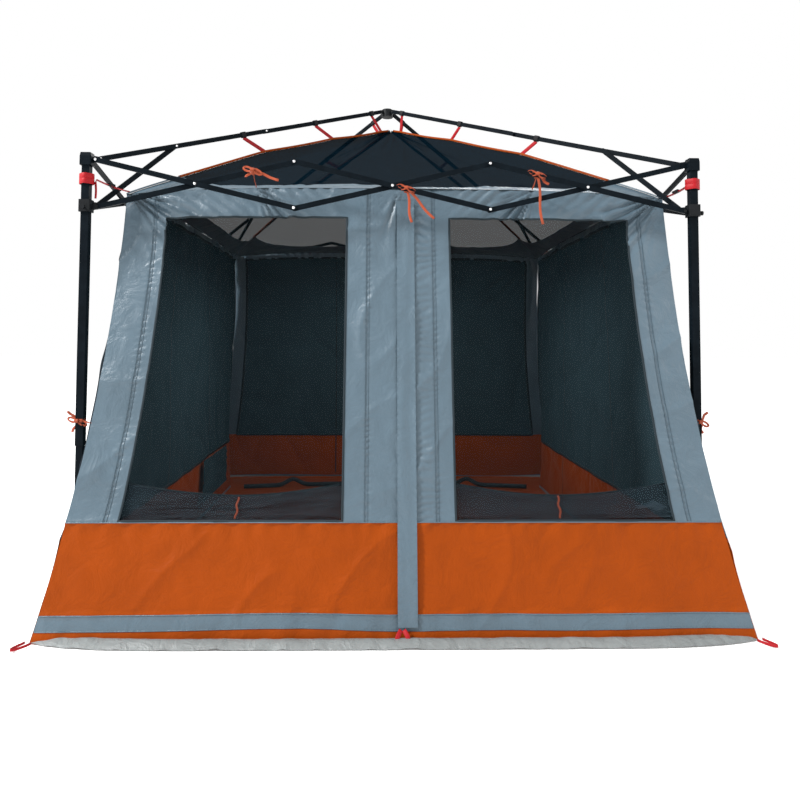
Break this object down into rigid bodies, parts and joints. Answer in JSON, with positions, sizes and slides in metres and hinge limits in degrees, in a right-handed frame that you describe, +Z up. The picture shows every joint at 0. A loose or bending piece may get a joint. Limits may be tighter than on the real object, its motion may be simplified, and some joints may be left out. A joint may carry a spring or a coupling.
{
  "type": "tarp shelter",
  "caption": "Pop-up shelter: folding scissor frame on telescoping posts, with a hung tent that has windowed walls and a mesh roof.",
  "frame": {"origin": "on the ground under the middle of the shelter", "axes": "+Z up, front with the door faces -Y, +X to the right seen from the front"},
  "size_m": [3.302, 3.8092, 2.958],
  "materials": {
    "tent_fabric": "matte grey-blue tent cloth",
    "mesh_roof": "fine black mesh",
    "red_webbing": "woven webbing",
    "silver_sheet": "coated ripstop",
    "flap_fabric": "matte tent cloth",
    "zip_metal": "satin",
    "black_plastic": "moulded",
    "black_steel": "powder coat"
  },
  "bodies": {
    "front_left_post": {"front_left_post": "black_steel", "groundsheet": "silver_sheet", "front_wall": "tent_fabric", "back_wall": "tent_fabric", "left_wall": "tent_fabric", "right_wall": "tent_fabric", "tent_roof": "mesh_roof", "hanging_straps": "red_webbing", "stake_loops": "red_webbing"},
    "front_right_post": {"front_right_post": "black_steel"},
    "back_right_post": {"back_right_post": "black_steel"},
    "back_left_post": {"back_left_post": "black_steel"},
    "front_left_slider": {"front_left_slider": "black_plastic"},
    "front_left_lower_leg": {"front_left_lower_leg": "black_steel"},
    "front_left_outer_arm": {"front_left_outer_arm": "black_steel"},
    "front_left_inner_arm": {"front_left_inner_arm": "black_steel"},
    "front_left_strut": {"front_left_strut": "black_steel"},
    "front_right_slider": {"front_right_slider": "black_plastic"},
    "front_right_lower_leg": {"front_right_lower_leg": "black_steel"},
    "front_right_outer_arm": {"front_right_outer_arm": "black_steel"},
    "front_right_inner_arm": {"front_right_inner_arm": "black_steel"},
    "front_right_strut": {"front_right_strut": "black_steel"},
    "back_right_slider": {"back_right_slider": "black_plastic"},
    "back_right_lower_leg": {"back_right_lower_leg": "black_steel"},
    "back_right_outer_arm": {"back_right_outer_arm": "black_steel"},
    "back_right_inner_arm": {"back_right_inner_arm": "black_steel"},
    "back_right_strut": {"back_right_strut": "black_steel"},
    "back_left_slider": {"back_left_slider": "black_plastic"},
    "back_left_lower_leg": {"back_left_lower_leg": "black_steel"},
    "back_left_outer_arm": {"back_left_outer_arm": "black_steel"},
    "back_left_inner_arm": {"back_left_inner_arm": "black_steel"},
    "back_left_strut": {"back_left_strut": "black_steel"},
    "front_outer_bar_1": {"front_outer_bar_1": "black_steel"},
    "front_inner_bar_1": {"front_inner_bar_1": "black_steel"},
    "front_outer_bar_2": {"front_outer_bar_2": "black_steel"},
    "front_inner_bar_2": {"front_inner_bar_2": "black_steel"},
    "front_outer_bar_3": {"front_outer_bar_3": "black_steel"},
    "front_inner_bar_3": {"front_inner_bar_3": "black_steel"},
    "right_outer_bar_1": {"right_outer_bar_1": "black_steel"},
    "right_inner_bar_1": {"right_inner_bar_1": "black_steel"},
    "right_outer_bar_2": {"right_outer_bar_2": "black_steel"},
    "right_inner_bar_2": {"right_inner_bar_2": "black_steel"},
    "right_outer_bar_3": {"right_outer_bar_3": "black_steel"},
    "right_inner_bar_3": {"right_inner_bar_3": "black_steel"},
    "back_outer_bar_1": {"back_outer_bar_1": "black_steel"},
    "back_inner_bar_1": {"back_inner_bar_1": "black_steel"},
    "back_outer_bar_2": {"back_outer_bar_2": "black_steel"},
    "back_inner_bar_2": {"back_inner_bar_2": "black_steel"},
    "back_outer_bar_3": {"back_outer_bar_3": "black_steel"},
    "back_inner_bar_3": {"back_inner_bar_3": "black_steel"},
    "left_outer_bar_1": {"left_outer_bar_1": "black_steel"},
    "left_inner_bar_1": {"left_inner_bar_1": "black_steel"},
    "left_outer_bar_2": {"left_outer_bar_2": "black_steel"},
    "left_inner_bar_2": {"left_inner_bar_2": "black_steel"},
    "left_outer_bar_3": {"left_outer_bar_3": "black_steel"},
    "left_inner_bar_3": {"left_inner_bar_3": "black_steel"},
    "roof_hub": {"roof_hub": "black_plastic"},
    "storm_flap": {"storm_flap": "flap_fabric"},
    "zip_slider": {"zip_slider": "zip_metal"}
  },
  "joints": [
    {"name": "frame_fold", "type": "hinge", "parent": "front_left_post", "child": "front_outer_bar_1", "pos_m": [-1.455, -1.5, 2.2], "axis": [0, 1, 0], "range_deg": [0, 71.66], "deforming": ["front_wall", "back_wall", "left_wall", "right_wall", "tent_roof", "hanging_straps", "stake_loops", "groundsheet", "storm_flap", "zip_slider"]},
    {"name": "front_inner_bar_1_pivot", "type": "hinge", "parent": "front_outer_bar_1", "child": "front_inner_bar_1", "pos_m": [-0.97, -1.5, 2.085], "axis": [0, -1, 0], "range_deg": [0, 152.32]},
    {"name": "front_outer_bar_2_pivot", "type": "hinge", "parent": "front_inner_bar_1", "child": "front_outer_bar_2", "pos_m": [-0.485, -1.5, 2.2], "axis": [0, 1, 0], "range_deg": [0, 152.32]},
    {"name": "front_inner_bar_2_pivot", "type": "hinge", "parent": "front_outer_bar_2", "child": "front_inner_bar_2", "pos_m": [0, -1.5, 2.085], "axis": [0, -1, 0], "range_deg": [0, 152.32]},
    {"name": "front_outer_bar_3_pivot", "type": "hinge", "parent": "front_inner_bar_2", "child": "front_outer_bar_3", "pos_m": [0.485, -1.5, 2.2], "axis": [0, 1, 0], "range_deg": [0, 152.32]},
    {"name": "front_inner_bar_3_pivot", "type": "hinge", "parent": "front_outer_bar_3", "child": "front_inner_bar_3", "pos_m": [0.97, -1.5, 2.085], "axis": [0, -1, 0], "range_deg": [0, 152.32]},
    {"name": "front_right_post_pivot", "type": "hinge", "parent": "front_inner_bar_3", "child": "front_right_post", "pos_m": [1.455, -1.5, 2.2], "axis": [0, 1, 0], "range_deg": [0, 76.66]},
    {"name": "right_outer_bar_1_pivot", "type": "hinge", "parent": "front_right_post", "child": "right_outer_bar_1", "pos_m": [1.5, -1.455, 2.2], "axis": [-1, 0, 0], "range_deg": [0, 76.66]},
    {"name": "right_inner_bar_1_pivot", "type": "hinge", "parent": "right_outer_bar_1", "child": "right_inner_bar_1", "pos_m": [1.5, -0.97, 2.085], "axis": [1, 0, 0], "range_deg": [0, 152.32]},
    {"name": "right_outer_bar_2_pivot", "type": "hinge", "parent": "right_inner_bar_1", "child": "right_outer_bar_2", "pos_m": [1.5, -0.485, 2.2], "axis": [-1, 0, 0], "range_deg": [0, 152.32]},
    {"name": "right_inner_bar_2_pivot", "type": "hinge", "parent": "right_outer_bar_2", "child": "right_inner_bar_2", "pos_m": [1.5, 0, 2.085], "axis": [1, 0, 0], "range_deg": [0, 152.32]},
    {"name": "right_outer_bar_3_pivot", "type": "hinge", "parent": "right_inner_bar_2", "child": "right_outer_bar_3", "pos_m": [1.5, 0.485, 2.2], "axis": [-1, 0, 0], "range_deg": [0, 152.32]},
    {"name": "right_inner_bar_3_pivot", "type": "hinge", "parent": "right_outer_bar_3", "child": "right_inner_bar_3", "pos_m": [1.5, 0.97, 2.085], "axis": [1, 0, 0], "range_deg": [0, 152.32]},
    {"name": "back_right_post_pivot", "type": "hinge", "parent": "right_inner_bar_3", "child": "back_right_post", "pos_m": [1.5, 1.455, 2.2], "axis": [-1, 0, 0], "range_deg": [0, 76.66]},
    {"name": "left_inner_bar_3_pivot", "type": "hinge", "parent": "front_left_post", "child": "left_inner_bar_3", "pos_m": [-1.5, -1.455, 2.2], "axis": [-1, 0, 0], "range_deg": [0, 76.66]},
    {"name": "left_outer_bar_3_pivot", "type": "hinge", "parent": "left_inner_bar_3", "child": "left_outer_bar_3", "pos_m": [-1.5, -0.97, 2.085], "axis": [1, 0, 0], "range_deg": [0, 152.32]},
    {"name": "left_inner_bar_2_pivot", "type": "hinge", "parent": "left_outer_bar_3", "child": "left_inner_bar_2", "pos_m": [-1.5, -0.485, 2.2], "axis": [-1, 0, 0], "range_deg": [0, 152.32]},
    {"name": "left_outer_bar_2_pivot", "type": "hinge", "parent": "left_inner_bar_2", "child": "left_outer_bar_2", "pos_m": [-1.5, 0, 2.085], "axis": [1, 0, 0], "range_deg": [0, 152.32]},
    {"name": "left_inner_bar_1_pivot", "type": "hinge", "parent": "left_outer_bar_2", "child": "left_inner_bar_1", "pos_m": [-1.5, 0.485, 2.2], "axis": [-1, 0, 0], "range_deg": [0, 152.32]},
    {"name": "left_outer_bar_1_pivot", "type": "hinge", "parent": "left_inner_bar_1", "child": "left_outer_bar_1", "pos_m": [-1.5, 0.97, 2.085], "axis": [1, 0, 0], "range_deg": [0, 152.32]},
    {"name": "back_left_post_pivot", "type": "hinge", "parent": "left_outer_bar_1", "child": "back_left_post", "pos_m": [-1.5, 1.455, 2.2], "axis": [-1, 0, 0], "range_deg": [0, 76.66]},
    {"name": "back_inner_bar_3_pivot", "type": "hinge", "parent": "back_left_post", "child": "back_inner_bar_3", "pos_m": [-1.455, 1.5, 2.2], "axis": [0, 1, 0], "range_deg": [0, 76.66]},
    {"name": "back_outer_bar_3_pivot", "type": "hinge", "parent": "back_inner_bar_3", "child": "back_outer_bar_3", "pos_m": [-0.97, 1.5, 2.085], "axis": [0, -1, 0], "range_deg": [0, 152.32]},
    {"name": "back_inner_bar_2_pivot", "type": "hinge", "parent": "back_outer_bar_3", "child": "back_inner_bar_2", "pos_m": [-0.485, 1.5, 2.2], "axis": [0, 1, 0], "range_deg": [0, 152.32]},
    {"name": "back_outer_bar_2_pivot", "type": "hinge", "parent": "back_inner_bar_2", "child": "back_outer_bar_2", "pos_m": [0, 1.5, 2.085], "axis": [0, -1, 0], "range_deg": [0, 152.32]},
    {"name": "back_inner_bar_1_pivot", "type": "hinge", "parent": "back_outer_bar_2", "child": "back_inner_bar_1", "pos_m": [0.485, 1.5, 2.2], "axis": [0, 1, 0], "range_deg": [0, 152.32]},
    {"name": "back_outer_bar_1_pivot", "type": "hinge", "parent": "back_inner_bar_1", "child": "back_outer_bar_1", "pos_m": [0.97, 1.5, 2.085], "axis": [0, -1, 0], "range_deg": [0, 152.32]},
    {"name": "front_left_slider_pivot", "type": "hinge", "parent": "front_inner_bar_1", "child": "front_left_slider", "pos_m": [-1.455, -1.5, 1.97], "axis": [0, 1, 0], "range_deg": [0, 76.66]},
    {"name": "front_right_slider_pivot", "type": "hinge", "parent": "right_inner_bar_1", "child": "front_right_slider", "pos_m": [1.5, -1.455, 1.97], "axis": [-1, 0, 0], "range_deg": [0, 76.66]},
    {"name": "back_right_slider_pivot", "type": "hinge", "parent": "right_outer_bar_3", "child": "back_right_slider", "pos_m": [1.5, 1.455, 1.97], "axis": [1, 0, 0], "range_deg": [0, 76.66]},
    {"name": "back_left_slider_pivot", "type": "hinge", "parent": "left_inner_bar_1", "child": "back_left_slider", "pos_m": [-1.5, 1.455, 1.97], "axis": [1, 0, 0], "range_deg": [0, 76.66]},
    {"name": "front_left_outer_arm_pivot", "type": "hinge", "parent": "front_left_post", "child": "front_left_outer_arm", "pos_m": [-1.45757, -1.45757, 2.215], "axis": [-0.7071, 0.7071, 0], "range_deg": [0, 111.21]},
    {"name": "front_left_strut_pivot", "type": "hinge", "parent": "front_left_slider", "child": "front_left_strut", "pos_m": [-1.45757, -1.45757, 1.985], "axis": [0.7071, -0.7071, 0], "range_deg": [0, 49.79]},
    {"name": "front_right_outer_arm_pivot", "type": "hinge", "parent": "front_right_post", "child": "front_right_outer_arm", "pos_m": [1.45757, -1.45757, 2.215], "axis": [-0.7071, -0.7071, 0], "range_deg": [0, 111.21]},
    {"name": "front_right_strut_pivot", "type": "hinge", "parent": "front_right_slider", "child": "front_right_strut", "pos_m": [1.45757, -1.45757, 1.985], "axis": [0.7071, 0.7071, 0], "range_deg": [0, 49.79]},
    {"name": "back_right_outer_arm_pivot", "type": "hinge", "parent": "back_right_post", "child": "back_right_outer_arm", "pos_m": [1.45757, 1.45757, 2.215], "axis": [0.7071, -0.7071, 0], "range_deg": [0, 111.21]},
    {"name": "back_right_strut_pivot", "type": "hinge", "parent": "back_right_slider", "child": "back_right_strut", "pos_m": [1.45757, 1.45757, 1.985], "axis": [-0.7071, 0.7071, 0], "range_deg": [0, 49.79]},
    {"name": "back_left_outer_arm_pivot", "type": "hinge", "parent": "back_left_post", "child": "back_left_outer_arm", "pos_m": [-1.45757, 1.45757, 2.215], "axis": [0.7071, 0.7071, 0], "range_deg": [0, 111.21]},
    {"name": "back_left_strut_pivot", "type": "hinge", "parent": "back_left_slider", "child": "back_left_strut", "pos_m": [-1.45757, 1.45757, 1.985], "axis": [-0.7071, -0.7071, 0], "range_deg": [0, 49.79]},
    {"name": "front_left_inner_arm_pivot", "type": "hinge", "parent": "front_left_outer_arm", "child": "front_left_inner_arm", "pos_m": [-0.75, -0.75, 2.5725], "axis": [0.7071, -0.7071, 0], "range_deg": [0, 182.1]},
    {"name": "roof_hub_pivot", "type": "hinge", "parent": "front_left_inner_arm", "child": "roof_hub", "pos_m": [-0.04243, -0.04243, 2.93], "axis": [-0.7071, 0.7071, 0], "range_deg": [0, 71.89]},
    {"name": "front_right_inner_arm_pivot", "type": "hinge", "parent": "roof_hub", "child": "front_right_inner_arm", "pos_m": [0.04243, -0.04243, 2.93], "axis": [0.7071, 0.7071, 0], "range_deg": [0, 71.89]},
    {"name": "back_right_inner_arm_pivot", "type": "hinge", "parent": "roof_hub", "child": "back_right_inner_arm", "pos_m": [0.04243, 0.04243, 2.93], "axis": [-0.7071, 0.7071, 0], "range_deg": [0, 71.89]},
    {"name": "back_left_inner_arm_pivot", "type": "hinge", "parent": "roof_hub", "child": "back_left_inner_arm", "pos_m": [-0.04243, 0.04243, 2.93], "axis": [-0.7071, -0.7071, 0], "range_deg": [0, 71.89]},
    {"name": "front_left_leg_slide", "type": "slide", "parent": "front_left_post", "child": "front_left_lower_leg", "axis": [0, 0, 1], "range_m": [0, 0.7]},
    {"name": "front_right_leg_slide", "type": "slide", "parent": "front_right_post", "child": "front_right_lower_leg", "axis": [0, 0, 1], "range_m": [0, 0.7]},
    {"name": "back_right_leg_slide", "type": "slide", "parent": "back_right_post", "child": "back_right_lower_leg", "axis": [0, 0, 1], "range_m": [0, 0.7]},
    {"name": "back_left_leg_slide", "type": "slide", "parent": "back_left_post", "child": "back_left_lower_leg", "axis": [0, 0, 1], "range_m": [0, 0.7]},
    {"name": "storm_flap_hinge", "type": "hinge", "parent": "front_left_post", "child": "storm_flap", "pos_m": [0.027, -1.60019, 1.03097], "axis": [0, -0.2049, -0.9788], "range_deg": [0, 150]},
    {"name": "zip_slider_slide", "type": "slide", "parent": "front_left_post", "child": "zip_slider", "axis": [0, 0.2049, 0.9788], "range_m": [-0.25, 1.35]}
  ],
  "couplings": [
    {"joint": "front_inner_bar_1_pivot", "follows": "frame_fold", "ratio": 2},
    {"joint": "front_outer_bar_2_pivot", "follows": "frame_fold", "ratio": 2},
    {"joint": "front_inner_bar_2_pivot", "follows": "frame_fold", "ratio": 2},
    {"joint": "front_outer_bar_3_pivot", "follows": "frame_fold", "ratio": 2},
    {"joint": "front_inner_bar_3_pivot", "follows": "frame_fold", "ratio": 2},
    {"joint": "front_right_post_pivot", "follows": "frame_fold", "ratio": 1},
    {"joint": "right_outer_bar_1_pivot", "follows": "frame_fold", "ratio": 1},
    {"joint": "right_inner_bar_1_pivot", "follows": "frame_fold", "ratio": 2},
    {"joint": "right_outer_bar_2_pivot", "follows": "frame_fold", "ratio": 2},
    {"joint": "right_inner_bar_2_pivot", "follows": "frame_fold", "ratio": 2},
    {"joint": "right_outer_bar_3_pivot", "follows": "frame_fold", "ratio": 2},
    {"joint": "right_inner_bar_3_pivot", "follows": "frame_fold", "ratio": 2},
    {"joint": "back_right_post_pivot", "follows": "frame_fold", "ratio": 1},
    {"joint": "left_inner_bar_3_pivot", "follows": "frame_fold", "ratio": 1},
    {"joint": "left_outer_bar_3_pivot", "follows": "frame_fold", "ratio": 2},
    {"joint": "left_inner_bar_2_pivot", "follows": "frame_fold", "ratio": 2},
    {"joint": "left_outer_bar_2_pivot", "follows": "frame_fold", "ratio": 2},
    {"joint": "left_inner_bar_1_pivot", "follows": "frame_fold", "ratio": 2},
    {"joint": "left_outer_bar_1_pivot", "follows": "frame_fold", "ratio": 2},
    {"joint": "back_left_post_pivot", "follows": "frame_fold", "ratio": 1},
    {"joint": "back_inner_bar_3_pivot", "follows": "frame_fold", "ratio": 1},
    {"joint": "back_outer_bar_3_pivot", "follows": "frame_fold", "ratio": 2},
    {"joint": "back_inner_bar_2_pivot", "follows": "frame_fold", "ratio": 2},
    {"joint": "back_outer_bar_2_pivot", "follows": "frame_fold", "ratio": 2},
    {"joint": "back_inner_bar_1_pivot", "follows": "frame_fold", "ratio": 2},
    {"joint": "back_outer_bar_1_pivot", "follows": "frame_fold", "ratio": 2},
    {"joint": "front_left_slider_pivot", "follows": "frame_fold", "ratio": 1},
    {"joint": "front_right_slider_pivot", "follows": "frame_fold", "ratio": 1},
    {"joint": "back_right_slider_pivot", "follows": "frame_fold", "ratio": 1},
    {"joint": "back_left_slider_pivot", "follows": "frame_fold", "ratio": 1},
    {"joint": "front_left_outer_arm_pivot", "follows": "frame_fold", "ratio": 1.4821},
    {"joint": "front_left_strut_pivot", "follows": "frame_fold", "ratio": 0.62505},
    {"joint": "front_right_outer_arm_pivot", "follows": "frame_fold", "ratio": 1.4821},
    {"joint": "front_right_strut_pivot", "follows": "frame_fold", "ratio": 0.62505},
    {"joint": "back_right_outer_arm_pivot", "follows": "frame_fold", "ratio": 1.4821},
    {"joint": "back_right_strut_pivot", "follows": "frame_fold", "ratio": 0.62505},
    {"joint": "back_left_outer_arm_pivot", "follows": "frame_fold", "ratio": 1.4821},
    {"joint": "back_left_strut_pivot", "follows": "frame_fold", "ratio": 0.62505},
    {"joint": "front_left_inner_arm_pivot", "follows": "frame_fold", "ratio": 2.4155},
    {"joint": "roof_hub_pivot", "follows": "frame_fold", "ratio": 0.9334},
    {"joint": "front_right_inner_arm_pivot", "follows": "frame_fold", "ratio": 0.9334},
    {"joint": "back_right_inner_arm_pivot", "follows": "frame_fold", "ratio": 0.9334},
    {"joint": "back_left_inner_arm_pivot", "follows": "frame_fold", "ratio": 0.9334}
  ]
}
